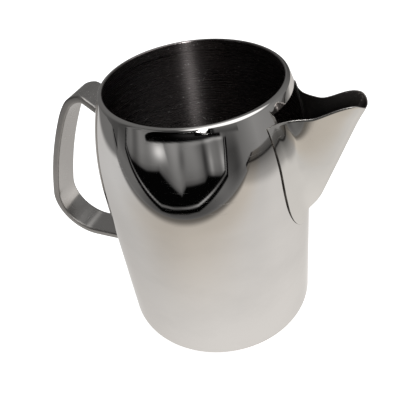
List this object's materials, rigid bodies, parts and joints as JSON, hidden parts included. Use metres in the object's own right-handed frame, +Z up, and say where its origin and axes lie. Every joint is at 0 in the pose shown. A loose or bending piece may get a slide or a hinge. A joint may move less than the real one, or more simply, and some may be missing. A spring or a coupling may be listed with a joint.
{
  "type": "milk frothing pitcher",
  "caption": "Round steel frothing jug with a domed shoulder, hemmed rim, applied open pouring spout and a welded bent strap handle.",
  "frame": {"origin": "centre of the flat base face that the jug stands on", "axes": "+Z up along the jug's axis, +X towards the spout, handle towards -X"},
  "size_m": [0.1696, 0.1, 0.1324],
  "materials": {
    "polished_steel_cup": "mirror polished outside, satin inside",
    "polished_steel_spout": "mirror polished",
    "polished_steel_handle": "polished",
    "weld_metal": "ground weld"
  },
  "bodies": {
    "root": {"body_cup": "polished_steel_cup", "spout": "polished_steel_spout", "handle_strap": "polished_steel_handle", "handle_upper_weld": "weld_metal", "handle_lower_weld": "weld_metal"}
  },
  "joints": []
}
